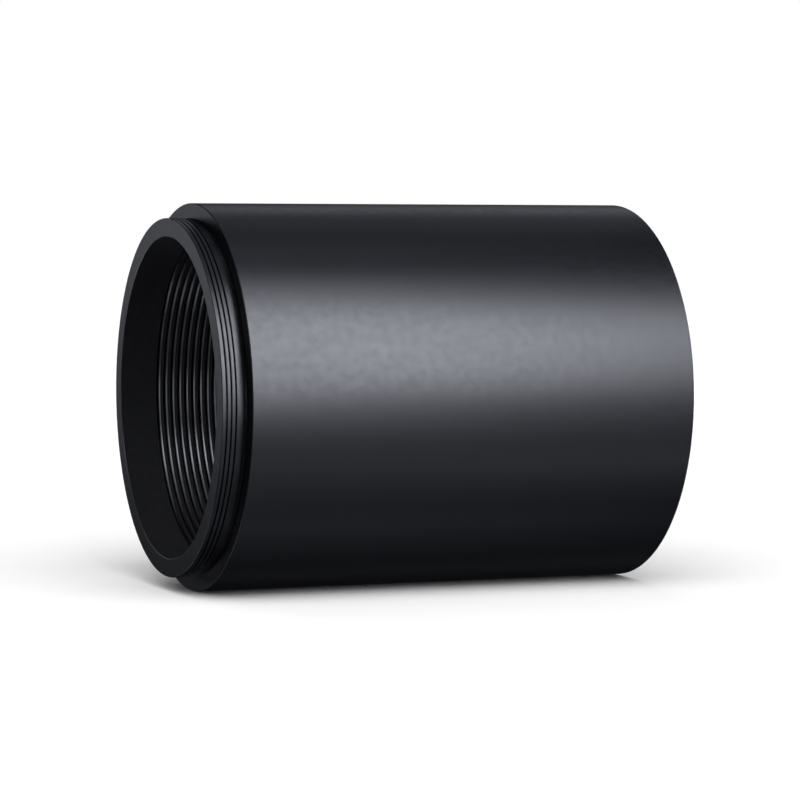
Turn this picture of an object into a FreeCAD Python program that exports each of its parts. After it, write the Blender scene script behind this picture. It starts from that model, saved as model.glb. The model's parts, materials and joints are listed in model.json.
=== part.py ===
import FreeCAD, Part

import math
import os
import re

import Sketcher

# An in-line Barlow lens for a telescope: a thick black tube with a male M48 x 0.75 thread at its
# camera end, a female M48 x 0.75 thread at its telescope end, and a screwed-in cell that holds a
# negative air-spaced doublet. Millimetres.
#
# Frame: the optical axis is X. x = 0 is the shoulder that the camera side screws up against. The
# male thread runs from there towards -X, and the telescope end is at +X.

# ---------------------------------------------------------------- driving sizes
SIZES = {
    # barrel, outside
    "barrel_length": 62.3,
    "barrel_radius": 26.0,
    "rim_chamfer": 0.2,
    # threads: every groove is a 60 degree vee with a narrow flat root
    "flank_slope": 0.5774,
    "thread_pitch": 0.75,
    "thread_depth": 0.42,
    "thread_root": 0.08,
    "fine_pitch": 0.5,
    "fine_depth": 0.27,
    # male camera thread, M48 x 0.75, and the undercut beside its shoulder
    "spigot_length": 3.4,
    "male_radius": 24.0,
    "spigot_chamfer": 0.2,
    "first_male_groove": 0.6,
    "male_groove_count": 2,
    "undercut_start": 1.95,
    "undercut_slope": 0.1,
    "undercut_depth": 0.4,
    "shoulder_land": 0.15,
    # bore, with its glare-killing grooves
    "bore_radius": 21.5,
    "mouth_chamfer": 0.15,
    "smooth_mouth": 5.15,
    "baffle_pitch": 1.02,
    "baffle_depth": 0.4,
    "baffle_root": 0.06,
    "baffle_count": 35,
    # seat and thread for the cell, M46 x 0.75
    "cell_seat": 38.0,
    "cell_bore_radius": 22.6,
    "cell_thread_start": 47.9,
    "cell_thread_count": 13,
    # female telescope thread, M48 x 0.75
    "socket_depth": 5.0,
    "female_radius": 23.6,
    "female_count": 5,
    "first_female_groove": 0.9,
    "female_lead_in": 0.45,
    # lens cell
    "cell_length": 16.0,
    "cell_radius": 22.54,
    "cell_chamfer": 0.3,
    "cell_groove_start": 8.5,
    "cell_groove_count": 10,
    "cell_lip": 1.5,
    "aperture_radius": 17.0,
    "lens_bore_radius": 18.05,
    "ring_bore_start": 13.4,
    "ring_bore_radius": 18.6,
    "ring_bore_groove_count": 4,
    "o_ring_start": 3.0,
    "o_ring_width": 2.0,
    "o_ring_depth": 1.5,
    "cell_slot_width": 1.6,
    "cell_slot_depth": 1.0,
    "o_ring_section": 0.74,
    # glass: a crown hollow on both sides and a flint that nests behind it
    "lens_radius": 18.0,
    "lens_bevel": 0.25,
    "inner_curve": 47.0,
    "outer_curve": 860.0,
    "crown_centre": 2.0,
    "air_gap": 0.3,
    "flint_centre": 5.2,
    "seat_ring_thickness": 0.3,
    "seat_ring_width": 0.9,
    "spacer_width": 0.7,
    "spacer_play": 0.02,
    # rings behind the glass
    "slip_ring_thickness": 0.5,
    "slip_ring_width": 1.2,
    "retainer_thickness": 2.0,
    "retainer_bore": 16.8,
    "retainer_play": 0.04,
    "retainer_groove_count": 3,
    "ring_chamfer": 0.2,
    "retainer_slot_width": 1.2,
    "retainer_slot_depth": 1.0,
    # rings behind the cell
    "washer_thickness": 0.4,
    "washer_bore": 19.5,
    "washer_radius": 22.4,
    "lock_ring_thickness": 2.0,
    "lock_ring_bore": 19.2,
    "lock_groove_start": 0.625,
    "lock_groove_count": 2,
    "lock_slot_width": 1.5,
    "lock_slot_depth": 1.0,
}


def sag(height, curve="inner_curve"):
    """How deep a lens surface has curved at a height above the axis, as an expression."""
    return f"({curve} - sqrt({curve} * {curve} - {height} * {height}))"


# Places along the axis that several pieces share, as expressions over the sizes.
LENS_RIM = "(lens_radius - lens_bevel)"
CROWN_START = "cell_seat + cell_lip + seat_ring_thickness"
CROWN_FRONT = f"{CROWN_START} + {sag(LENS_RIM)}"
CROWN_BACK = f"{CROWN_FRONT} + crown_centre"
CROWN_END = f"{CROWN_BACK} + {sag(LENS_RIM)}"
FLINT_FRONT = f"{CROWN_BACK} + air_gap"
FLINT_BACK = f"{FLINT_FRONT} + flint_centre"
FLINT_END = f"{FLINT_BACK} + {sag(LENS_RIM, 'outer_curve')}"
RETAINER_START = f"{FLINT_END} + slip_ring_thickness"
CELL_END = "cell_seat + cell_length"
WASHER_END = f"{CELL_END} + washer_thickness"
SOCKET_FLOOR = "barrel_length - socket_depth"

doc = FreeCAD.newDocument("barlow")
sheet = doc.addObject("Spreadsheet::Sheet", "Sizes")
for row, (alias, value) in enumerate(SIZES.items(), start=1):
    sheet.set(f"A{row}", str(value))
    sheet.setAlias(f"A{row}", alias)
doc.recompute()


# ---------------------------------------------------------------- helpers
def linked(expression):
    """The expression with every size name addressed to the sheet."""
    return re.sub(r"[a-z_]+", lambda m: ("Sizes." if m[0] in SIZES else "") + m[0], expression)


def number(expression):
    return float(sheet.evalExpression(linked(expression)))


def origin_feature(body, role):
    return next(item for item in body.Origin.OriginFeatures if item.Role == role)


def new_body(label):
    body = doc.addObject("PartDesign::Body", label)
    body.Label = label
    return body


def new_sketch(body, name, plane):
    sketch = body.newObject("Sketcher::SketchObject", name)
    sketch.AttachmentSupport = [(origin_feature(body, plane), "")]
    sketch.MapMode = "FlatFace"
    return sketch


def hold(sketch, kind, geometry, end, expression):
    """Ties one coordinate of a sketch point to the sheet."""
    rule = Sketcher.Constraint(kind, -1, 1, geometry, end, number(expression))
    index = sketch.addConstraint(rule)
    sketch.setExpression(f"Constraints[{index}]", linked(expression))


def on_axis_centre(start, end):
    """The point on the X axis that is equally far from both ends."""
    square = end.x**2 + end.y**2 - start.x**2 - start.y**2
    return FreeCAD.Vector(square / (2 * (end.x - start.x)), 0, 0)


def turns_back(start, end):
    """True where an arc between the two, drawn anticlockwise, runs from end to start."""
    centre = on_axis_centre(start, end)
    return math.atan2(start.y, start.x - centre.x) > math.atan2(end.y, end.x - centre.x)


def axis_arc(start, end):
    """An arc between two points about a centre on the X axis."""
    centre = on_axis_centre(start, end)
    angles = sorted(math.atan2(p.y, p.x - centre.x) for p in (start, end))
    circle = Part.Circle(centre, FreeCAD.Vector(0, 0, 1), (start - centre).Length)
    return Part.ArcOfCircle(circle, *angles)


def outline(body, name, points, arcs=()):
    """A closed sketch through (x, radius) points. An edge that starts at a point numbered in arcs
    is part of a circle about the axis of the lathe, X."""
    sketch = new_sketch(body, name, "XY_Plane")
    places = [FreeCAD.Vector(number(x), number(r), 0) for x, r in points]
    after = places[1:] + places[:1]
    back = [k in arcs and turns_back(places[k], after[k]) for k in range(len(points))]
    for k, (start, end) in enumerate(zip(places, after)):
        sketch.addGeometry(axis_arc(start, end) if k in arcs else Part.LineSegment(start, end))
    for k, (x, r) in enumerate(points):
        first = 2 if back[k] else 1
        hold(sketch, "DistanceX", k, first, x)
        hold(sketch, "DistanceY", k, first, r)
        follower = (k + 1) % len(points)
        ends = (1 if back[k] else 2), (2 if back[follower] else 1)
        sketch.addConstraint(Sketcher.Constraint("Coincident", k, ends[0], follower, ends[1]))
    for k in arcs:
        sketch.addConstraint(Sketcher.Constraint("PointOnObject", k, 3, -1))
    return sketch


def turned(label, points, arcs=()):
    """A body turned about X from an outline."""
    body = new_body(label)
    sketch = outline(body, label + "_outline", points, arcs)
    feature = body.newObject("PartDesign::Revolution", label + "_turning")
    feature.Profile = sketch
    feature.ReferenceAxis = (sketch, ["H_Axis"])
    feature.Angle = 360.0
    doc.recompute()
    return body


def checked_cut(body, feature):
    """Stops if a cut took nothing away from its body."""
    before = feature.BaseFeature.Shape.Volume
    doc.recompute()
    if feature.Shape.Volume > before - 1e-6:
        raise RuntimeError(f"{feature.Label} cuts nothing")


def ring_grooves(body, name, middle, radius, depth, root, outward, pitch, count):
    """Vee grooves around the axis, one pitch apart, from the first one's middle towards +X.

    outward is True where the groove runs outwards from a bore's wall.
    """
    sign = "+" if outward else "-"
    half = f"({root} / 2 + {depth} * flank_slope)"
    skin = "0.05"
    over = f"({root} / 2 + ({depth} + {skin}) * flank_slope)"
    bottom = f"{radius} {sign} {depth}"
    top = f"{radius} {'-' if outward else '+'} {skin}"
    points = [
        (f"{middle} - {over}", top),
        (f"{middle} - {root} / 2", bottom),
        (f"{middle} + {root} / 2", bottom),
        (f"{middle} + {over}", top),
    ]
    sketch = outline(body, name + "_outline", points)
    groove = body.newObject("PartDesign::Groove", name)
    groove.Profile = sketch
    groove.ReferenceAxis = (sketch, ["H_Axis"])
    groove.Angle = 360.0
    checked_cut(body, groove)
    pattern = body.newObject("PartDesign::LinearPattern", name + "_row")
    pattern.Originals = [groove]
    pattern.Direction = (origin_feature(body, "X_Axis"), [""])
    pattern.Mode = "Spacing"
    pattern.setExpression("Offset", linked(pitch))
    pattern.setExpression("Occurrences", linked(count))
    body.Tip = pattern
    doc.recompute()


def key_slots(body, name, face, width, depth, reach):
    """Two spanner slots, opposite each other, sunk from a face at x = face towards -X."""
    sketch = new_sketch(body, name + "_outline", "YZ_Plane")
    corners = [(-1, -1), (1, -1), (1, 1), (-1, 1)]
    halves = reach, f"{width} / 2"
    places = [FreeCAD.Vector(u * number(halves[0]), v * number(halves[1]), 0) for u, v in corners]
    for k in range(4):
        sketch.addGeometry(Part.LineSegment(places[k], places[(k + 1) % 4]))
    for k, (u, v) in enumerate(corners):
        hold(sketch, "DistanceX", k, 1, f"{u} * ({halves[0]})")
        hold(sketch, "DistanceY", k, 1, f"{v} * ({halves[1]})")
        sketch.addConstraint(Sketcher.Constraint("Coincident", k, 2, (k + 1) % 4, 1))
    sketch.setExpression("AttachmentOffset.Base.z", linked(face))
    pocket = body.newObject("PartDesign::Pocket", name)
    pocket.Profile = sketch
    pocket.setExpression("Length", linked(depth))
    checked_cut(body, pocket)


def flat_ring(label, start, thickness, inner, outer, chamfer=None):
    """A ring of rectangular section, with its outer corners broken where a chamfer is given."""
    end = f"{start} + {thickness}"
    if chamfer is None:
        return turned(label, [(start, inner), (start, outer), (end, outer), (end, inner)])
    points = [
        (start, inner),
        (start, f"{outer} - {chamfer}"),
        (f"{start} + {chamfer}", outer),
        (f"{end} - {chamfer}", outer),
        (end, f"{outer} - {chamfer}"),
        (end, f"{inner} + {chamfer}"),
        (f"{end} - {chamfer}", inner),
    ]
    return turned(label, points)


# ---------------------------------------------------------------- barrel
def barrel():
    spigot_end = "0 - spigot_length"
    undercut = "male_radius - undercut_depth"
    points = [
        (spigot_end, "bore_radius + mouth_chamfer"),
        (spigot_end, "male_radius - spigot_chamfer"),
        (f"{spigot_end} + spigot_chamfer", "male_radius"),
        (f"{spigot_end} + undercut_start", "male_radius"),
        (f"{spigot_end} + undercut_start + undercut_slope", undercut),
        ("0 - shoulder_land - undercut_depth", undercut),
        ("0 - shoulder_land", "male_radius"),
        ("0", "male_radius"),
        ("0", "barrel_radius - rim_chamfer"),
        ("rim_chamfer", "barrel_radius"),
        ("barrel_length - rim_chamfer", "barrel_radius"),
        ("barrel_length", "barrel_radius - rim_chamfer"),
        ("barrel_length", "female_radius + female_lead_in"),
        ("barrel_length - female_lead_in", "female_radius"),
        (SOCKET_FLOOR, "female_radius"),
        (SOCKET_FLOOR, "cell_bore_radius"),
        ("cell_seat", "cell_bore_radius"),
        ("cell_seat", "bore_radius"),
        (f"{spigot_end} + mouth_chamfer", "bore_radius"),
    ]
    body = turned("barrel", points)
    ring_grooves(body, "male_thread", f"{spigot_end} + first_male_groove", "male_radius",
                 "thread_depth", "thread_root", False, "thread_pitch", "male_groove_count")
    first = f"{spigot_end} + smooth_mouth + baffle_root / 2 + baffle_depth * flank_slope"
    ring_grooves(body, "baffle_grooves", first, "bore_radius",
                 "baffle_depth", "baffle_root", True, "baffle_pitch", "baffle_count")
    ring_grooves(body, "cell_thread", "cell_thread_start", "cell_bore_radius",
                 "thread_depth", "thread_root", True, "thread_pitch", "cell_thread_count")
    ring_grooves(body, "telescope_thread", f"{SOCKET_FLOOR} + first_female_groove", "female_radius",
                 "thread_depth", "thread_root", True, "thread_pitch", "female_count")


# ---------------------------------------------------------------- lens cell and its O-ring
def lens_cell():
    groove_start = "cell_seat + o_ring_start"
    groove_end = f"{groove_start} + o_ring_width"
    groove_floor = "cell_radius - o_ring_depth"
    points = [
        ("cell_seat", "aperture_radius"),
        ("cell_seat", "cell_radius - cell_chamfer"),
        ("cell_seat + cell_chamfer", "cell_radius"),
        (groove_start, "cell_radius"),
        (groove_start, groove_floor),
        (groove_end, groove_floor),
        (groove_end, "cell_radius"),
        (f"{CELL_END} - cell_chamfer", "cell_radius"),
        (CELL_END, "cell_radius - cell_chamfer"),
        (CELL_END, "ring_bore_radius + cell_chamfer"),
        (f"{CELL_END} - cell_chamfer", "ring_bore_radius"),
        ("cell_seat + ring_bore_start", "ring_bore_radius"),
        ("cell_seat + ring_bore_start", "lens_bore_radius"),
        ("cell_seat + cell_lip", "lens_bore_radius"),
        ("cell_seat + cell_lip", "aperture_radius"),
    ]
    body = turned("lens_cell", points)
    ring_grooves(body, "cell_male_thread", "cell_seat + cell_groove_start", "cell_radius",
                 "thread_depth", "thread_root", False, "thread_pitch", "cell_groove_count")
    ring_grooves(body, "ring_bore_thread", "cell_seat + ring_bore_start + fine_pitch",
                 "ring_bore_radius", "fine_depth", "thread_root", True, "fine_pitch",
                 "ring_bore_groove_count")
    key_slots(body, "cell_slots", CELL_END, "cell_slot_width", "cell_slot_depth", "barrel_radius")


def cell_o_ring():
    ring = doc.addObject("Part::Torus", "cell_o_ring")
    ring.Label = "cell_o_ring"
    ring.setExpression("Radius1", linked("cell_radius - o_ring_depth / 2"))
    ring.setExpression("Radius2", linked("o_ring_section"))
    ring.Placement = FreeCAD.Placement(
        FreeCAD.Vector(0, 0, 0), FreeCAD.Rotation(FreeCAD.Vector(0, 1, 0), 90)
    )
    middle = "cell_seat + o_ring_start + o_ring_width / 2"
    ring.setExpression("Placement.Base.x", linked(middle))


# ---------------------------------------------------------------- glass
def crown_element():
    points = [
        (CROWN_FRONT, "0"),
        (CROWN_START, LENS_RIM),
        (f"{CROWN_START} + lens_bevel", "lens_radius"),
        (f"{CROWN_END} - lens_bevel", "lens_radius"),
        (CROWN_END, LENS_RIM),
        (CROWN_BACK, "0"),
    ]
    turned("crown_element", points, arcs=(0, 4))


def flint_element():
    front_rim = f"{FLINT_FRONT} + {sag(LENS_RIM)}"
    points = [
        (FLINT_FRONT, "0"),
        (front_rim, LENS_RIM),
        (f"{front_rim} + lens_bevel", "lens_radius"),
        (f"{FLINT_END} - lens_bevel", "lens_radius"),
        (FLINT_END, LENS_RIM),
        (FLINT_BACK, "0"),
    ]
    turned("flint_element", points, arcs=(0, 4))


def element_spacer():
    """A thin dished ring that follows both curves near the rim."""
    outer = "(lens_radius - 2 * lens_bevel)"
    inner = f"({outer} - spacer_width)"
    points = [
        (f"{CROWN_BACK} + {sag(inner)} + spacer_play", inner),
        (f"{CROWN_BACK} + {sag(outer)} + spacer_play", outer),
        (f"{FLINT_FRONT} + {sag(outer)} - spacer_play", outer),
        (f"{FLINT_FRONT} + {sag(inner)} - spacer_play", inner),
    ]
    turned("element_spacer", points)


# ---------------------------------------------------------------- rings
def small_rings():
    flat_ring("lens_seat_ring", "cell_seat + cell_lip", "seat_ring_thickness",
              "lens_radius - seat_ring_width", "lens_radius")
    flat_ring("retainer_slip_ring", FLINT_END, "slip_ring_thickness",
              "lens_radius - slip_ring_width", "lens_radius")
    flat_ring("cell_lock_washer", CELL_END, "washer_thickness", "washer_bore", "washer_radius")


def retaining_ring():
    body = flat_ring("lens_retaining_ring", RETAINER_START, "retainer_thickness",
                     "retainer_bore", "ring_bore_radius - retainer_play", "ring_chamfer")
    ring_grooves(body, "retainer_thread", f"{RETAINER_START} + fine_pitch",
                 "ring_bore_radius - retainer_play", "fine_depth", "thread_root", False,
                 "fine_pitch", "retainer_groove_count")
    key_slots(body, "retainer_slots", f"{RETAINER_START} + retainer_thickness",
              "retainer_slot_width", "retainer_slot_depth", "barrel_radius")


def lock_ring():
    body = flat_ring("cell_lock_ring", WASHER_END, "lock_ring_thickness",
                     "lock_ring_bore", "cell_radius", "ring_chamfer")
    ring_grooves(body, "lock_ring_thread", f"{WASHER_END} + lock_groove_start", "cell_radius",
                 "thread_depth", "thread_root", False, "thread_pitch", "lock_groove_count")
    key_slots(body, "lock_slots", f"{WASHER_END} + lock_ring_thickness",
              "lock_slot_width", "lock_slot_depth", "barrel_radius")


# ---------------------------------------------------------------- build, check, write
def finished_parts():
    """The labelled sub-parts, once every object is known to be sound."""
    doc.recompute()
    for item in doc.Objects:
        if {"Invalid", "Error"} & set(item.State):
            raise RuntimeError(f"{item.Label} failed: {item.State}")
    parts = [o for o in doc.Objects if o.TypeId in ("PartDesign::Body", "Part::Torus")]
    for part in parts:
        if part.Shape.isNull() or not part.Shape.isValid() or len(part.Shape.Solids) != 1:
            raise RuntimeError(f"{part.Label} is not one valid solid")
    return parts


barrel()
lens_cell()
cell_o_ring()
crown_element()
flint_element()
element_spacer()
small_rings()
retaining_ring()
lock_ring()

os.makedirs("parts", exist_ok=True)
for part in finished_parts():
    part.Shape.exportStep(f"parts/{part.Label}.step")
    box = part.Shape.BoundBox
    print(f"{part.Label}: {part.Shape.Volume:.1f} mm3, x {box.XMin:.2f} to {box.XMax:.2f}")
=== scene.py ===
import json
import math

import bmesh
import bpy
import numpy as np
from mathutils import Matrix, Vector

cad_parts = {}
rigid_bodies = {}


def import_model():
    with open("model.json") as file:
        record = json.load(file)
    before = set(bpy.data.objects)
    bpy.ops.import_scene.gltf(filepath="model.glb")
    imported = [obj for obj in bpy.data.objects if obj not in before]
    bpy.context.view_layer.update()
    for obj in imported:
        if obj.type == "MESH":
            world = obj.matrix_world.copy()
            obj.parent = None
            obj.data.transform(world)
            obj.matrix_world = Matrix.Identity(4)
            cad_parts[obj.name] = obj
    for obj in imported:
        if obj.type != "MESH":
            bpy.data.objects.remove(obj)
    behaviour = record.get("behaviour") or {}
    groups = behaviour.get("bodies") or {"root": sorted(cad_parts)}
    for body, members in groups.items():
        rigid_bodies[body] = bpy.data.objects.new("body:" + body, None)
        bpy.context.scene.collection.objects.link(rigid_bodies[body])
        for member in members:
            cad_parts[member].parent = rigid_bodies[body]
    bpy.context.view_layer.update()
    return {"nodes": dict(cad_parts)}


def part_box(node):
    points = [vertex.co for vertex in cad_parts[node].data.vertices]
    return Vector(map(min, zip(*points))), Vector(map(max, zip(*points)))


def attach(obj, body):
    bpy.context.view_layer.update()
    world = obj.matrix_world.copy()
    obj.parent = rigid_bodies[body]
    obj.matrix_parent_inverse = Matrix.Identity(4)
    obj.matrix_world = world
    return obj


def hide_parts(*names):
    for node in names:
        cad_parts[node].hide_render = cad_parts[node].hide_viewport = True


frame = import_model()

# ---------------------------------------------------------------- sizes
# Outlines are in millimetres, as (x, radius) about the optical axis, X. Where each piece starts
# and ends, and its outer and inner radius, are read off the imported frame.
MM = 0.001
SEGMENTS = 256
ROUNDING_STEPS = 3
# A corner's rounding takes at most this share of each edge that meets there.
LONGEST_ROUNDING = 0.45
# Points closer than this, in metres, are one point.
MERGE_DISTANCE = 1e-7
# A face this near to a radius counts as on it.
TOLERANCE = 0.01

# The threads have 60 degree vees: a flank leans this far along the axis per mm of depth.
FLANK_SLOPE = math.tan(math.radians(30))
COARSE = {"pitch": 0.75, "depth": 0.42, "root": 0.08}
FINE = {"pitch": 0.5, "depth": 0.27, "root": 0.08}
THREAD_CHAMFER = 0.45
FINE_CHAMFER = 0.3

# How far from a corner its rounding starts.
BREAK = 0.05
SMALL_BREAK = 0.03
WIDE_BREAK = 0.08


def extent(node):
    """Where a CAD node starts and ends along the axis, and its outer radius, in mm."""
    low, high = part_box(node)
    return low.x / MM, high.x / MM, high.z / MM


def inner_radius(node):
    """The radius of the hole through a CAD node, in mm."""
    return min(math.hypot(v.co.y, v.co.z) for v in frame["nodes"][node].data.vertices) / MM


BARREL_START, BARREL_END, BARREL_RADIUS = extent("barrel")
BORE_RADIUS = inner_radius("barrel")
CELL_START, CELL_END, CELL_RADIUS = extent("lens_cell")
LENS_RADIUS = extent("crown_element")[2]

# The rest are the design's own sizes.
MALE_RADIUS = 24.0
CELL_BORE_RADIUS = 22.6
SOCKET_RADIUS = 23.6
SOCKET_FLOOR = BARREL_END - 5.0
RING_BORE_RADIUS = 18.6
RING_BORE_START = CELL_START + 13.4
LENS_BORE_RADIUS = 18.05
CELL_LIP = 1.5
INNER_CURVE = 47.0
OUTER_CURVE = 860.0
LENS_BEVEL = 0.25
SLOT_DEPTH = 1.0


# ---------------------------------------------------------------- turned shapes
class Thread:
    """A helical vee thread cut into a cylinder, from one x to another.

    A bore's thread is cut outwards. Its crests are trimmed by a 45 degree chamfer where one is
    given at an end, and otherwise its cut fades out over that end's run_out.
    """

    def __init__(self, start, end, radius, cut, outward, chamfers=(None, None), run_out=0.6):
        self.start, self.end, self.radius, self.cut = start, end, radius, cut
        self.sign = 1 if outward else -1
        self.low, self.high = sorted((start, end))
        self.chamfers = chamfers if start < end else chamfers[::-1]
        self.run_out = run_out

    def radius_at_end(self, x):
        chamfer = self.chamfers[0] if x == self.low else self.chamfers[1]
        return self.radius + self.sign * (chamfer or 0.0)

    def knots(self):
        """One turn of the groove: places along the pitch and how deep the cut is there, 0 to 1.

        The crest is flat between its soft edges, where the cut is just beginning.
        """
        flank = self.cut["depth"] * FLANK_SLOPE
        crest = self.cut["pitch"] - self.cut["root"] - 2 * flank
        soft = 0.25 * crest
        places = [soft, crest - soft, crest, crest + 0.5 * flank, crest + flank]
        places += [crest + flank + self.cut["root"], crest + 1.5 * flank + self.cut["root"]]
        places += [self.cut["pitch"]]
        return np.array(places), np.array([0, 0, 0.08, 0.5, 1, 1, 0.5, 0.08])

    def rows(self):
        pitch = self.cut["pitch"]
        places, depths = self.knots()
        turns = np.arange(-2, math.ceil((self.high - self.low) / pitch) + 1)
        along = (turns[:, None] * pitch + places[None, :]).ravel() + self.low
        cut = np.tile(depths, len(turns))
        shift = pitch * np.arange(SEGMENTS + 1) / SEGMENTS
        x = np.clip(along[:, None] + shift[None, :], self.low, self.high)
        depth = np.interp(x - shift[None, :], along, cut)
        for end, chamfer in zip((self.low, self.high), self.chamfers):
            if chamfer is None:
                fade = np.clip(np.abs(x - end) / self.run_out, 0, 1)
                depth = depth * fade * fade * (3 - 2 * fade)
        depth = depth * self.cut["depth"]
        for end, chamfer in zip((self.low, self.high), self.chamfers):
            if chamfer is not None:
                depth = np.maximum(depth, chamfer - np.abs(x - end))
        radius = self.radius + self.sign * depth
        step = 1 if self.start < self.end else -1
        return x[::step], radius[::step]


def entry(item):
    """The point where an outline comes into a corner or a thread."""
    return (item.start, item.radius_at_end(item.start)) if isinstance(item, Thread) else item[:2]


def leave(item):
    """The point where an outline goes on from a corner or a thread."""
    return (item.end, item.radius_at_end(item.end)) if isinstance(item, Thread) else item[:2]


def rounded_corner(before, corner, after, rounding):
    """Points that turn a corner smoothly, from one of its edges to the other."""
    middle = Vector(corner)
    sides = []
    for other in (before, after):
        edge = Vector(other) - middle
        sides.append(middle + edge.normalized() * min(rounding, LONGEST_ROUNDING * edge.length))
    points = []
    for k in range(ROUNDING_STEPS + 1):
        t = k / ROUNDING_STEPS
        points.append((1 - t) ** 2 * sides[0] + 2 * t * (1 - t) * middle + t * t * sides[1])
    return points


def grid_rows(items, closed):
    """Every row of the turned surface, as x and radius at each step around the axis."""
    all_x, all_radii = [], []
    for k, item in enumerate(items):
        if isinstance(item, Thread):
            x, radii = item.rows()
            all_x.extend(x)
            all_radii.extend(radii)
            continue
        rounding = item[2] if len(item) > 2 else 0
        points = [Vector(item[:2])]
        if rounding and (closed or 0 < k < len(items) - 1):
            before, after = leave(items[k - 1]), entry(items[(k + 1) % len(items)])
            points = rounded_corner(before, item[:2], after, rounding)
        for point in points:
            all_x.append(np.full(SEGMENTS + 1, point.x))
            all_radii.append(np.full(SEGMENTS + 1, point.y))
    return np.array(all_x), np.array(all_radii)


def clean(mesh):
    """Joins points that coincide, drops faces with no area and turns the faces outwards."""
    shape = bmesh.new()
    shape.from_mesh(mesh)
    bmesh.ops.remove_doubles(shape, verts=shape.verts, dist=MERGE_DISTANCE)
    bmesh.ops.dissolve_degenerate(shape, dist=MERGE_DISTANCE, edges=shape.edges)
    if shape.calc_volume(signed=True) < 0:
        bmesh.ops.reverse_faces(shape, faces=shape.faces)
    shape.to_mesh(mesh)
    shape.free()


def turned(name, items, closed=True):
    """A mesh turned about X from corners (x, radius, rounding) and threads, in order."""
    x, radii = grid_rows(items, closed)
    rows, columns = x.shape
    angle = 2 * math.pi * np.arange(columns) / SEGMENTS
    points = np.stack([x, radii * np.cos(angle), radii * np.sin(angle)], -1).reshape(-1, 3) * MM
    start = np.arange(rows if closed else rows - 1)[:, None] * columns + np.arange(SEGMENTS)
    following = (start + columns) % (rows * columns)
    faces = np.stack([start, start + 1, following + 1, following], -1).reshape(-1, 4)
    mesh = bpy.data.meshes.new(name)
    mesh.from_pydata(points.tolist(), [], faces.tolist())
    clean(mesh)
    obj = bpy.data.objects.new(name, mesh)
    bpy.context.scene.collection.objects.link(obj)
    return obj


def apply_modifiers(obj):
    """Turns what an object's modifiers make of it into its own mesh."""
    graph = bpy.context.evaluated_depsgraph_get()
    mesh = bpy.data.meshes.new_from_object(obj.evaluated_get(graph), depsgraph=graph)
    obj.modifiers.clear()
    obj.data = mesh


def slotted(obj, face, width):
    """Cuts the two slots for a pin spanner across the end of a ring, at x = face."""
    reach = BARREL_RADIUS
    beyond = 1.0
    corners = [(x, y, z) for x in (face - SLOT_DEPTH, face + beyond) for y in (-reach, reach)
               for z in (-width / 2, width / 2)]
    mesh = bpy.data.meshes.new("cutter")
    sides = [(0, 1, 3, 2), (4, 6, 7, 5), (0, 4, 5, 1), (2, 3, 7, 6), (0, 2, 6, 4), (1, 5, 7, 3)]
    mesh.from_pydata([tuple(c * MM for c in corner) for corner in corners], [], sides)
    cutter = bpy.data.objects.new("cutter", mesh)
    bpy.context.scene.collection.objects.link(cutter)
    cut = obj.modifiers.new("slots", "BOOLEAN")
    cut.operation = "DIFFERENCE"
    cut.solver = "EXACT"
    cut.object = cutter
    apply_modifiers(obj)
    clean(obj.data)
    bpy.data.objects.remove(cutter)


def finished(obj, materials, body, node, sharp=35.0, pick=None):
    """Shades a piece, paints it and ties it to the frame.

    Edges sharper than this angle in degrees stay crisp. Where a piece has several materials,
    pick gives the number of a face's material from its x and radius.
    """
    obj.data.materials.clear()
    for material in materials:
        obj.data.materials.append(material)
    obj.data.shade_smooth()
    obj.data.set_sharp_from_angle(angle=math.radians(sharp))
    if pick is not None:
        for face in obj.data.polygons:
            centre = face.center
            face.material_index = pick(centre.x / MM, math.hypot(centre.y, centre.z) / MM)
    weighted = obj.modifiers.new("weighted", "WEIGHTED_NORMAL")
    weighted.keep_sharp = True
    weighted.mode = "FACE_AREA_WITH_ANGLE"
    apply_modifiers(obj)
    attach(obj, body)
    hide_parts(node)


def ring_groove(middle, radius, cut, outward, slope, rounding):
    """The four corners of a groove around the axis, towards +X, with the flanks' slope."""
    half_root = cut["root"] / 2
    half = half_root + cut["depth"] * slope
    bottom = radius + (cut["depth"] if outward else -cut["depth"])
    return [
        (middle - half, radius, rounding), (middle - half_root, bottom),
        (middle + half_root, bottom), (middle + half, radius, rounding),
    ]


# ---------------------------------------------------------------- node helpers
# Most of a noise lies between these values.
NOISE_LOW = 0.3
NOISE_HIGH = 0.7


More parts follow.
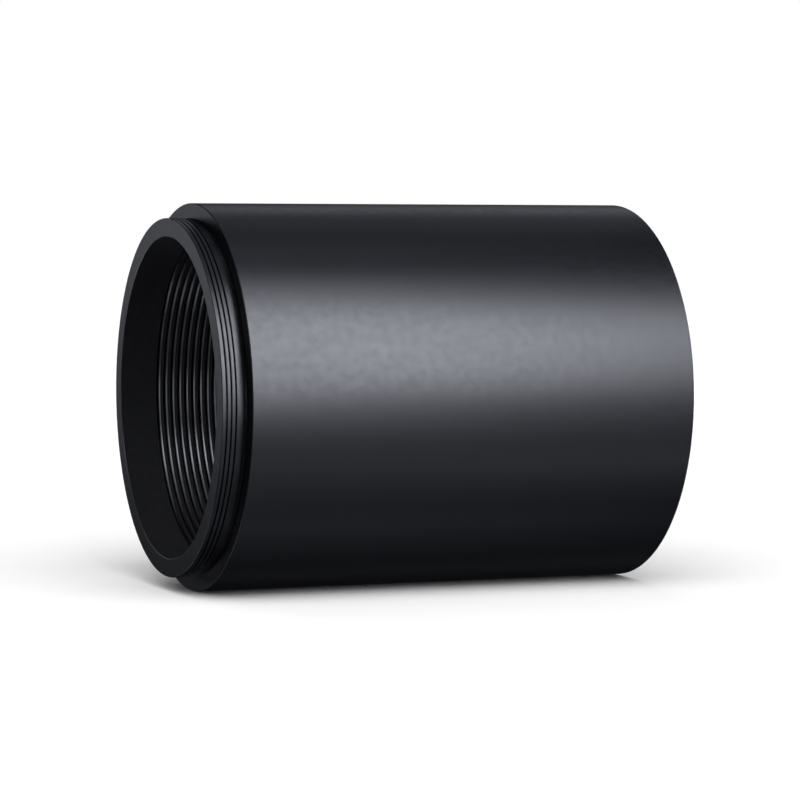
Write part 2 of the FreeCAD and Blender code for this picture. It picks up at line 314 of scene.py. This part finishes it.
class Tree:
    """A short way to write a material's node tree."""

    def __init__(self, name):
        self.material = bpy.data.materials.new(name)
        self.material.use_nodes = True
        self.nodes = self.material.node_tree.nodes
        self.links = self.material.node_tree.links
        self.shader = self.nodes["Principled BSDF"]

    def add(self, kind, **settings):
        node = self.nodes.new("ShaderNode" + kind)
        for key, value in settings.items():
            setattr(node, key, value)
        return node

    def set(self, **inputs):
        for key, value in inputs.items():
            self.shader.inputs[key.replace("_", " ")].default_value = value

    def feed(self, source, name):
        self.links.new(source, self.shader.inputs[name])

    def place(self):
        return self.add("TexCoord").outputs["Object"]

    def around_axis(self):
        """The place as (x, distance from the axis, 0), so that a pattern follows the turning."""
        parts = self.add("SeparateXYZ")
        self.links.new(self.place(), parts.inputs["Vector"])
        across = self.add("CombineXYZ")
        self.links.new(parts.outputs["Y"], across.inputs["Y"])
        self.links.new(parts.outputs["Z"], across.inputs["Z"])
        length = self.add("VectorMath", operation="LENGTH")
        self.links.new(across.outputs["Vector"], length.inputs[0])
        joined = self.add("CombineXYZ")
        self.links.new(parts.outputs["X"], joined.inputs["X"])
        self.links.new(length.outputs["Value"], joined.inputs["Y"])
        return joined.outputs["Vector"]

    def noise(self, where, scale, detail, roughness):
        node = self.add("TexNoise")
        self.links.new(where, node.inputs["Vector"])
        node.inputs["Scale"].default_value = scale
        node.inputs["Detail"].default_value = detail
        node.inputs["Roughness"].default_value = roughness
        return node.outputs["Fac"]

    def spread(self, value, low, high):
        """Stretches a noise so that most of it lies between low and high."""
        node = self.add("MapRange")
        self.links.new(value, node.inputs["Value"])
        node.inputs["From Min"].default_value = NOISE_LOW
        node.inputs["From Max"].default_value = NOISE_HIGH
        node.inputs["To Min"].default_value = low
        node.inputs["To Max"].default_value = high
        return node.outputs["Result"]

    def ramp(self, value, stops):
        node = self.add("ValToRGB")
        self.links.new(value, node.inputs["Fac"])
        ramp = node.color_ramp
        while len(ramp.elements) < len(stops):
            ramp.elements.new(0.5)
        for element, (place, colour) in zip(ramp.elements, stops):
            element.position = place
            element.color = (*colour, 1.0)
        return node.outputs["Color"]

    def bump(self, value, strength, distance, before=None):
        node = self.add("Bump")
        node.inputs["Strength"].default_value = strength
        node.inputs["Distance"].default_value = distance
        self.links.new(value, node.inputs["Height"])
        if before is not None:
            self.links.new(before, node.inputs["Normal"])
        return node.outputs["Normal"]


# ---------------------------------------------------------------- materials
# How high the fine relief of a surface stands, in metres.
GRAIN_HEIGHT = 0.00001
MOTTLE_HEIGHT = 0.00004
TOOL_MARK_HEIGHT = 0.000006


def grey(level, blue=0.06):
    """A grey that is bluer by the given share."""
    return (level, level, level * (1 + blue))


def shades(dark, light):
    """A colour ramp's stops for a noise."""
    return [(NOISE_LOW, dark), (NOISE_HIGH, light)]


def blasted_black():
    """Bead-blasted, black anodised aluminium: a fine even grain over a soft satin sheen."""
    tree = Tree("blasted_black_anodising")
    tree.set(Metallic=0.0, IOR=1.5)
    where = tree.place()
    grain = tree.noise(where, scale=6500.0, detail=2.0, roughness=0.6)
    mottle = tree.noise(where, scale=900.0, detail=3.0, roughness=0.55)
    cloud = tree.noise(where, scale=90.0, detail=2.0, roughness=0.5)
    colours = shades((0.0042, 0.0050, 0.0062), (0.0053, 0.0062, 0.0077))
    tree.feed(tree.ramp(cloud, colours), "Base Color")
    tree.feed(tree.spread(mottle, 0.318, 0.372), "Roughness")
    fine = tree.bump(grain, 0.22, GRAIN_HEIGHT)
    tree.feed(tree.bump(mottle, 0.10, MOTTLE_HEIGHT, fine), "Normal")
    return tree.material


def bore_black_painted_lighter():
    """The bore's smooth wall and lands: the same anodising, rougher, with its grey base colour
    painted far lighter than the outside's, as painted light inside the bore.
    """
    tree = Tree("bore_anodising_painted_lighter")
    tree.set(Metallic=0.0, IOR=1.5)
    where = tree.place()
    grain = tree.noise(where, scale=5200.0, detail=2.0, roughness=0.6)
    specks = tree.noise(where, scale=1500.0, detail=4.0, roughness=0.7)
    # Painted light: these greys, many times the outside's, stand in for light on the bore's wall;
    # the specks vary them at random.
    stops = [(0.35, grey(0.070)), (0.62, grey(0.084)), (0.72, grey(0.120))]
    tree.feed(tree.ramp(specks, stops), "Base Color")
    tree.feed(tree.spread(specks, 0.52, 0.62), "Roughness")
    tree.feed(tree.bump(grain, 0.12, GRAIN_HEIGHT), "Normal")
    return tree.material


def turned_black(name, level, roughness, marks=0.25, index=1.5):
    """Black anodised aluminium straight off the lathe: rings of fine tool marks."""
    tree = Tree(name)
    tree.set(Metallic=0.0, IOR=index)
    along = tree.around_axis()
    lines = tree.noise(along, scale=14000.0, detail=3.0, roughness=0.7)
    bands = tree.noise(along, scale=1500.0, detail=2.0, roughness=0.5)
    patches = tree.noise(tree.place(), scale=160.0, detail=3.0, roughness=0.5)
    darker, lighter, unevenness = 0.9, 1.12, 0.04
    colours = shades(grey(level * darker), grey(level * lighter))
    tree.feed(tree.ramp(patches, colours), "Base Color")
    tree.feed(tree.spread(bands, roughness - unevenness, roughness + unevenness), "Roughness")
    tree.feed(tree.bump(lines, marks, TOOL_MARK_HEIGHT), "Normal")
    return tree.material


def spring_steel():
    """Rolled steel with a fine grain and a faint stain."""
    tree = Tree("rolled_spring_steel")
    tree.set(Metallic=1.0, IOR=2.5)
    where = tree.place()
    rolled = tree.noise(where, scale=2600.0, detail=3.0, roughness=0.6)
    stain = tree.noise(where, scale=240.0, detail=3.0, roughness=0.6)
    tree.feed(tree.ramp(stain, shades(grey(0.38, 0.02), grey(0.47, 0.02))), "Base Color")
    tree.feed(tree.spread(rolled, 0.24, 0.36), "Roughness")
    tree.feed(tree.bump(rolled, 0.12, TOOL_MARK_HEIGHT), "Normal")
    return tree.material


def nitrile():
    """Smooth black rubber with a little dust on it."""
    tree = Tree("black_nitrile")
    tree.set(IOR=1.52)
    dust = tree.noise(tree.place(), scale=1900.0, detail=4.0, roughness=0.65)
    tree.feed(tree.ramp(dust, [(0.35, grey(0.011, 0)), (0.75, grey(0.019, 0))]), "Base Color")
    tree.feed(tree.spread(dust, 0.40, 0.55), "Roughness")
    tree.feed(tree.bump(dust, 0.15, GRAIN_HEIGHT), "Normal")
    return tree.material


def acetal():
    """Moulded black plastic with faint flow marks."""
    tree = Tree("black_acetal")
    tree.set(IOR=1.48)
    flow = tree.noise(tree.place(), scale=700.0, detail=3.0, roughness=0.5)
    tree.feed(tree.ramp(flow, shades(grey(0.024, 0), grey(0.030, 0))), "Base Color")
    tree.feed(tree.spread(flow, 0.30, 0.40), "Roughness")
    tree.feed(tree.bump(flow, 0.08, GRAIN_HEIGHT), "Normal")
    return tree.material


def edge_black():
    """Matt black paint on the ground rim of a lens, thin enough for the grinding to show."""
    tree = Tree("lens_edge_black")
    tree.set(IOR=1.45)
    ground = tree.noise(tree.place(), scale=4200.0, detail=3.0, roughness=0.6)
    tree.feed(tree.ramp(ground, shades(grey(0.008, 0), grey(0.016, 0))), "Base Color")
    tree.feed(tree.spread(ground, 0.62, 0.80), "Roughness")
    tree.feed(tree.bump(ground, 0.3, GRAIN_HEIGHT), "Normal")
    return tree.material


def coated_glass(name, index, tint, film):
    """Polished glass whose coating, film nm thick, gives the reflections their colour."""
    tree = Tree(name)
    tree.set(Base_Color=(*tint, 1.0), Roughness=0.0, IOR=index, Transmission_Weight=1.0)
    tree.set(Thin_Film_Thickness=film, Thin_Film_IOR=1.38)
    haze = tree.noise(tree.place(), scale=300.0, detail=3.0, roughness=0.5)
    tree.feed(tree.spread(haze, 0.0, 0.006), "Roughness")
    return tree.material


# ---------------------------------------------------------------- barrel
# MALE_END, the relief's ends and SMOOTH_BORE are distances from the spigot's end face.
MALE_LINE = {"pitch": 0.62, "depth": 0.3, "root": 0.05}
MALE_LINES = 3
MALE_SLOPE = 0.25
MALE_END = 1.98
SPIGOT_CHAMFER = 0.05
RELIEF_START = 2.06
RELIEF_END = 3.15
RELIEF_DEPTH = 0.17
RELIEF_STEPS = 8

SHOULDER_CHAMFER = 0.08
END_CHAMFER = 0.2

MOUTH_CHAMFER = 0.06
BAFFLE = {"pitch": 1.02, "depth": 0.27, "root": 0.03}
BAFFLES = 35
BAFFLE_SLOPE = 1.0
SMOOTH_BORE = 5.15

SOCKET_THREAD_END = SOCKET_FLOOR + 0.15
CELL_THREAD_START = SOCKET_FLOOR - 0.1
CELL_THREAD_END = CELL_START + 9.3


def male_lines(start):
    """The narrow ring grooves of the male thread."""
    corners = []
    for k in range(MALE_LINES):
        middle = start + (k + 1) * MALE_LINE["pitch"]
        corners += ring_groove(middle, MALE_RADIUS, MALE_LINE, False, MALE_SLOPE, SMALL_BREAK)
    return corners


def relief(start):
    """The hollow beside the shoulder: a step down that rises again in a curve."""
    first, last = start + RELIEF_START, start + RELIEF_END
    points = []
    for k in range(RELIEF_STEPS + 1):
        t = k / RELIEF_STEPS
        points.append((first + t * (last - first), MALE_RADIUS - RELIEF_DEPTH * (1 - t ** 3)))
    return points


def baffles(start):
    """The bore's ring grooves, from the inside out."""
    first = start + SMOOTH_BORE + BAFFLE["root"] / 2 + BAFFLE["depth"]
    corners = []
    for k in reversed(range(BAFFLES)):
        middle = first + k * BAFFLE["pitch"]
        corners += ring_groove(middle, BORE_RADIUS, BAFFLE, True, BAFFLE_SLOPE, 0.0)[::-1]
    return corners


def barrel_material(x, radius):
    """0 for the blasted outside and socket, 1 for the bore's wall, whose grey is painted lighter as
    light, 2 for its grooves' flanks, with a painted stronger sheen.
    """
    if x > CELL_START or radius > BORE_RADIUS + BAFFLE["depth"] + TOLERANCE:
        return 0
    return 1 if radius < BORE_RADIUS + TOLERANCE else 2


def barrel(materials):
    """The tube, once round its section: spigot, outside, socket, then the bore back to its mouth."""
    start, end = BARREL_START, BARREL_END
    spigot = [
        (start, BORE_RADIUS + MOUTH_CHAMFER, BREAK), (start, MALE_RADIUS - SPIGOT_CHAMFER, BREAK),
        (start + SPIGOT_CHAMFER, MALE_RADIUS, BREAK), *male_lines(start),
        (start + MALE_END, MALE_RADIUS, SMALL_BREAK), *relief(start), (0, MALE_RADIUS),
    ]
    outside = [
        (0, BARREL_RADIUS - SHOULDER_CHAMFER, SMALL_BREAK),
        (SHOULDER_CHAMFER, BARREL_RADIUS, SMALL_BREAK),
        (end - END_CHAMFER, BARREL_RADIUS, WIDE_BREAK),
        (end, BARREL_RADIUS - END_CHAMFER, WIDE_BREAK),
    ]
    socket = [
        Thread(end, SOCKET_THREAD_END, SOCKET_RADIUS, COARSE, True, (THREAD_CHAMFER, None)),
        (SOCKET_FLOOR, SOCKET_RADIUS, BREAK), (SOCKET_FLOOR, CELL_BORE_RADIUS, BREAK),
        Thread(CELL_THREAD_START, CELL_THREAD_END, CELL_BORE_RADIUS, COARSE, True),
        (CELL_START, CELL_BORE_RADIUS, BREAK), (CELL_START, BORE_RADIUS, BREAK),
    ]
    mouth = [(start + MOUTH_CHAMFER, BORE_RADIUS, BREAK)]
    piece = turned("barrel_tube", spigot + outside + socket + baffles(start) + mouth)
    finished(piece, materials, "barrel", "barrel", pick=barrel_material)


# ---------------------------------------------------------------- lens cell
def lens_cell(materials):
    """The housing: a front lip, the O-ring's groove and threads outside and in."""
    start, end, radius = CELL_START, CELL_END, CELL_RADIUS
    front_chamfer = 0.3
    groove_start, groove_end, groove_floor = start + 3.0, start + 5.0, radius - 1.5
    lip_break, groove_break = 0.12, 0.15
    thread_start, fine_run_out = start + 7.6, 0.4
    aperture = inner_radius("lens_cell")
    items = [
        (start, aperture, lip_break), (start, radius - front_chamfer, BREAK),
        (start + front_chamfer, radius, BREAK), (groove_start, radius, BREAK),
        (groove_start, groove_floor, groove_break), (groove_end, groove_floor, groove_break),
        (groove_end, radius, BREAK),
        Thread(thread_start, end, radius, COARSE, False, (None, THREAD_CHAMFER)),
        Thread(end, RING_BORE_START, RING_BORE_RADIUS, FINE, True, (FINE_CHAMFER, None),
               fine_run_out),
        (RING_BORE_START, LENS_BORE_RADIUS, BREAK),
        (start + CELL_LIP, LENS_BORE_RADIUS, BREAK), (start + CELL_LIP, aperture, BREAK),
    ]
    piece = turned("cell_housing", items)
    slotted(piece, end, width=1.6)
    finished(piece, materials, "lens_cell", "lens_cell")


def o_ring(material):
    """A ring of round section."""
    low, high, radius = extent("cell_o_ring")
    section = (high - low) / 2
    middle = (low + high) / 2
    centre = radius - section
    steps = 24
    items = []
    for k in range(steps):
        turn = 2 * math.pi * k / steps
        items.append((middle + section * math.cos(turn), centre + section * math.sin(turn)))
    piece = turned("nitrile_o_ring", items)
    finished(piece, [material], "cell_o_ring", "cell_o_ring", sharp=60.0)


# ---------------------------------------------------------------- glass
def sag(height, curve):
    """How far a curve of this radius falls back at a height above its vertex."""
    return curve - math.sqrt(curve * curve - height * height)


def lens_face(vertex, curve, rim):
    """Points on a lens surface, from the axis to its rim, which a minus curve puts nearer -X."""
    steps = 36
    heights = [rim * math.sin(0.5 * math.pi * k / steps) for k in range(steps + 1)]
    side = math.copysign(1, curve)
    return [(vertex + side * sag(height, abs(curve)), height) for height in heights]


def element(name, node, front_curve, back_curve, materials, slot):
    """A lens between two curves, with small bevels and a blackened rim."""
    rim = LENS_RADIUS - LENS_BEVEL
    bevel_break = 0.02
    start, end, _ = extent(node)
    front_vertex = start if front_curve > 0 else start + sag(rim, -front_curve)
    front = lens_face(front_vertex, front_curve, rim)
    back = lens_face(end - sag(rim, back_curve), back_curve, rim)[::-1]
    edge = [
        (front[-1][0] + LENS_BEVEL, LENS_RADIUS, bevel_break),
        (back[0][0] - LENS_BEVEL, LENS_RADIUS, bevel_break),
    ]
    piece = turned(name, front + edge + back, closed=False)

    def glass_or_rim(x, radius):
        return 1 if radius > rim + TOLERANCE else 0

    finished(piece, materials, "lens_cell", node, sharp=25.0, pick=glass_or_rim)


# ---------------------------------------------------------------- rings
def plain_ring(name, node, material, body):
    """A flat ring with softly broken edges."""
    start, end, radius = extent(node)
    bore = inner_radius(node)
    rounding = 0.06
    items = [(start, bore, rounding), (start, radius, rounding),
             (end, radius, rounding), (end, bore, rounding)]
    finished(turned(name, items), [material], body, node)


def spacer(material):
    """The thin dished ring between the two lenses, which follows both of their curves."""
    start, end, radius = extent("element_spacer")
    inner = inner_radius("element_spacer")
    lean = sag(radius, INNER_CURVE) - sag(inner, INNER_CURVE)
    items = [(start, inner, BREAK), (start + lean, radius, BREAK),
             (end, radius, BREAK), (end - lean, inner, BREAK)]
    piece = turned("spacer_ring", items)
    finished(piece, [material], "lens_cell", "element_spacer")


def threaded_ring(name, node, material, body, cut, chamfer, slot_width):
    """A ring with a thread around it and two spanner slots in its outer face."""
    start, end, radius = extent(node)
    bore = inner_radius(node)
    bore_chamfer = 0.25
    items = [
        (start, bore, WIDE_BREAK),
        Thread(start, end, radius, cut, False, (chamfer, chamfer)),
        (end, bore + bore_chamfer, BREAK), (end - bore_chamfer, bore, BREAK),
    ]
    piece = turned(name, items)
    slotted(piece, end, slot_width)
    finished(piece, [material], body, node)


# ---------------------------------------------------------------- stage
# Soft boxes that light only the part: name, azimuth, elevation, size in m, power in W.
BOX, STRIP, TALL = (0.13, 0.13), (0.3, 0.12), (0.2, 0.3)
BOX_DISTANCE = 0.5
LIGHTS = [
    ("front_under", 6, -35, BOX, 0.055),
    ("front_level", 6, 0, BOX, 0.25),
    ("key_under", 18, -15, BOX, 0.065),
    ("key_level", 18, 0, BOX, 0.09),
    ("key_low", 18, 11, BOX, 0.49),
    ("key_middle", 18, 22, BOX, 0.51),
    ("key_high", 18, 33, BOX, 0.43),
    ("key_higher", 18, 45, BOX, 0.48),
    ("key_top", 18, 60, BOX, 0.27),
    ("right_under", 32, -35, BOX, 0.045),
    ("right_low", 32, 22, BOX, 0.12),
    ("right_middle", 32, 33, BOX, 0.25),
    ("right_high", 32, 45, BOX, 0.165),
    ("right_top", 32, 60, BOX, 0.05),
    ("below_front", 18, -55, STRIP, 0.035),
    ("below", 40, -75, STRIP, 0.04),
    ("below_back", -50, -102, STRIP, 0.012),
    ("under_back", -30, -130, STRIP, 0.006),
    ("over", -50, 98, STRIP, 0.046),
    ("over_right", -30, 125, STRIP, 0.026),
    ("over_back_right", -30, 150, STRIP, 0.055),
    ("back_level", 10, 165, STRIP, 0.024),
    ("thread_high", -52, 33, BOX, 0.11),
    ("thread_low", -75, -28, BOX, 0.035),
    ("thread_level", -74, -1, BOX, 0.09),
    ("thread_middle", -82, 24, BOX, 0.24),
    ("mouth_high", -94, 42, BOX, 0.05),
    ("mouth_low", -98, -44, BOX, 0.07),
    ("rim_low", -135, -22, BOX, 0.16),
    ("rim_level", -150, 4, BOX, 0.055),
    ("rear_face_low", 115, -14, TALL, 0.9),
    ("rear_face_level", 104, 6, TALL, 0.6),
    ("rear_side", 128, 2, BOX, 0.25),
]
# Broad suns that light only the floor: name, azimuth, elevation, width in degrees and the light
# that it gives the floor, as a share of FLOOR_BRIGHTNESS.
SUNS = [
    ("sky", 0, 90, 160, 0.232),
    ("window_sharp", 0, 35, 30, 0.092),
    ("window_soft", 0, 35, 80, 0.458),
    ("window_left", -45, 50, 60, 0.246),
    ("window_back", 180, 50, 60, 0.090),
]
FLOOR_BRIGHTNESS = 3.43
COOL_WHITE = (0.975, 1.0, 1.12)

# The camera looks level with a slight fall, from the side of the male thread. Its distance and
# its shifts are in tube diameters.
CAMERA_YAW = 21.38
CAMERA_PITCH = 2.81
CAMERA_DISTANCE = 8.164
CAMERA_RIGHT = 0.5397
CAMERA_DOWN = 0.0066
CAMERA_LENS = 142.5
CAMERA_SENSOR = 36.0


def floor():
    """A wide pale floor that the tube lies on. It throws no light back and hides no lamp."""
    half = 3.0
    corners = [(-half, -half, 0), (half, -half, 0), (half, half, 0), (-half, half, 0)]
    mesh = bpy.data.meshes.new("floor")
    mesh.from_pydata(corners, [], [(0, 1, 2, 3)])
    obj = bpy.data.objects.new("floor", mesh)
    bpy.context.scene.collection.objects.link(obj)
    obj.location = (0, 0, -BARREL_RADIUS * MM)
    tree = Tree("pale_floor")
    tree.set(Base_Color=(0.9, 0.9, 0.9, 1), Roughness=1.0, Specular_IOR_Level=0.0)
    mesh.materials.append(tree.material)
    obj.visible_diffuse = False
    obj.visible_glossy = False
    obj.visible_transmission = False
    obj.visible_shadow = False
    return obj


def direction(azimuth, elevation):
    """Where a light stands, seen from the part. Azimuth 0 is in front, at -Y, 90 is at +X."""
    turn, lift = math.radians(azimuth), math.radians(elevation)
    level = math.cos(lift)
    return Vector((math.sin(turn) * level, -math.cos(turn) * level, math.sin(lift)))


def panel(name, azimuth, elevation, size, power, receivers):
    """A soft rectangular light that faces the middle of the tube, with its width along X.

    A light that stands nearly on the X axis has its width along Y.
    """
    nearly_on_axis = 0.2
    out = direction(azimuth, elevation)
    side = Vector((1, 0, 0)) - out * out.x
    if side.length < nearly_on_axis:
        side = Vector((0, 1, 0)) - out * out.y
    side.normalize()
    data = bpy.data.lights.new(name, "AREA")
    data.shape = "RECTANGLE"
    data.size, data.size_y = size
    data.energy = power
    data.color = COOL_WHITE
    obj = bpy.data.objects.new(name, data)
    bpy.context.scene.collection.objects.link(obj)
    middle = Vector((BARREL_END / 2 * MM, 0, 0))
    axes = Matrix((side, out.cross(side), out)).transposed()
    obj.matrix_world = Matrix.Translation(middle + out * BOX_DISTANCE) @ axes.to_4x4()
    obj.light_linking.receiver_collection = receivers


def sun(name, azimuth, elevation, width, share, receivers):
    """A sun as wide as a window or the sky, so its shadows are soft."""
    data = bpy.data.lights.new(name, "SUN")
    data.angle = math.radians(width)
    data.energy = share * FLOOR_BRIGHTNESS / math.sin(math.radians(elevation))
    obj = bpy.data.objects.new(name, data)
    bpy.context.scene.collection.objects.link(obj)
    obj.rotation_mode = "QUATERNION"
    obj.rotation_quaternion = direction(azimuth, elevation).to_track_quat("Z", "Y")
    obj.light_linking.receiver_collection = receivers


def lights(ground):
    """A white backdrop that lights nothing, soft boxes for the part and suns for the floor."""
    world = bpy.data.worlds.new("studio")
    world.use_nodes = True
    world.node_tree.nodes["Background"].inputs["Color"].default_value = (1, 1, 1, 1)
    world.node_tree.nodes["Background"].inputs["Strength"].default_value = 1.0
    world.cycles_visibility.diffuse = False
    world.cycles_visibility.glossy = False
    world.cycles_visibility.transmission = False
    bpy.context.scene.world = world

    stage_only = bpy.data.collections.new("lit_stage")
    stage_only.objects.link(ground)
    part_only = bpy.data.collections.new("lit_part")
    for obj in bpy.context.scene.objects:
        if obj.type == "MESH" and obj is not ground:
            part_only.objects.link(obj)

    for name, azimuth, elevation, size, power in LIGHTS:
        panel(name, azimuth, elevation, size, power, part_only)
    for name, azimuth, elevation, width, share in SUNS:
        sun(name, azimuth, elevation, width, share, stage_only)


def camera():
    """A long lens a little above the tube's axis."""
    yaw, pitch = math.radians(CAMERA_YAW), math.radians(CAMERA_PITCH)
    level = math.cos(pitch)
    forward = Vector((math.sin(yaw) * level, math.cos(yaw) * level, -math.sin(pitch)))
    right = Vector((math.cos(yaw), -math.sin(yaw), 0))
    up = right.cross(forward)
    diameter = 2 * BARREL_RADIUS * MM
    place = -forward * CAMERA_DISTANCE * diameter
    place = place + right * CAMERA_RIGHT * diameter - up * CAMERA_DOWN * diameter
    data = bpy.data.cameras.new("camera")
    data.lens = CAMERA_LENS
    data.sensor_width = CAMERA_SENSOR
    data.clip_start = 0.01
    data.clip_end = 10.0
    obj = bpy.data.objects.new("camera", data)
    bpy.context.scene.collection.objects.link(obj)
    axes = Matrix((right, up, -forward)).transposed()
    obj.matrix_world = Matrix.Translation(place) @ axes.to_4x4()
    bpy.context.scene.camera = obj


# ---------------------------------------------------------------- build
blasted = blasted_black()
ring_black = turned_black("turned_ring_black", level=0.016, roughness=0.30)
cell_black = turned_black("turned_cell_black", level=0.012, roughness=0.36)
crown_glass = coated_glass("crown_glass", index=1.517, tint=(0.97, 1.0, 0.985), film=110.0)
flint_glass = coated_glass("flint_glass", index=1.620, tint=(0.99, 1.0, 0.97), film=125.0)
painted_edge = edge_black()
slip_plastic = acetal()
# The bore's wall carries a painted lighter grey that stands in for light inside the bore.
bore_wall_painted_lighter = bore_black_painted_lighter()
# Painted sheen: the grooves' flanks get index 2.0, a stronger reflection than the anodising has
# elsewhere.
groove_black_painted_sheen = turned_black("turned_groove_painted_sheen", level=0.005, roughness=0.29, marks=0.1, index=2.0)

barrel([blasted, bore_wall_painted_lighter, groove_black_painted_sheen])
lens_cell([cell_black])
o_ring(nitrile())
plain_ring("seat_ring", "lens_seat_ring", slip_plastic, "lens_cell")
element("crown_lens", "crown_element", -INNER_CURVE, INNER_CURVE, [crown_glass, painted_edge],
        "crown_glass")
spacer(turned_black("blackened_spacer", level=0.020, roughness=0.40))
element("flint_lens", "flint_element", INNER_CURVE, OUTER_CURVE, [flint_glass, painted_edge],
        "flint_glass")
plain_ring("slip_ring_washer", "retainer_slip_ring", slip_plastic, "slip_ring")
threaded_ring("retaining_ring_threaded", "lens_retaining_ring", ring_black, "retaining_ring",
              FINE, FINE_CHAMFER, slot_width=1.2)
plain_ring("lock_washer_flat", "cell_lock_washer", spring_steel(), "lock_washer")
threaded_ring("lock_ring_threaded", "cell_lock_ring", ring_black, "lock_ring",
              COARSE, THREAD_CHAMFER, slot_width=1.5)

camera()
lights(floor())
bpy.context.scene.view_settings.view_transform = "Standard"
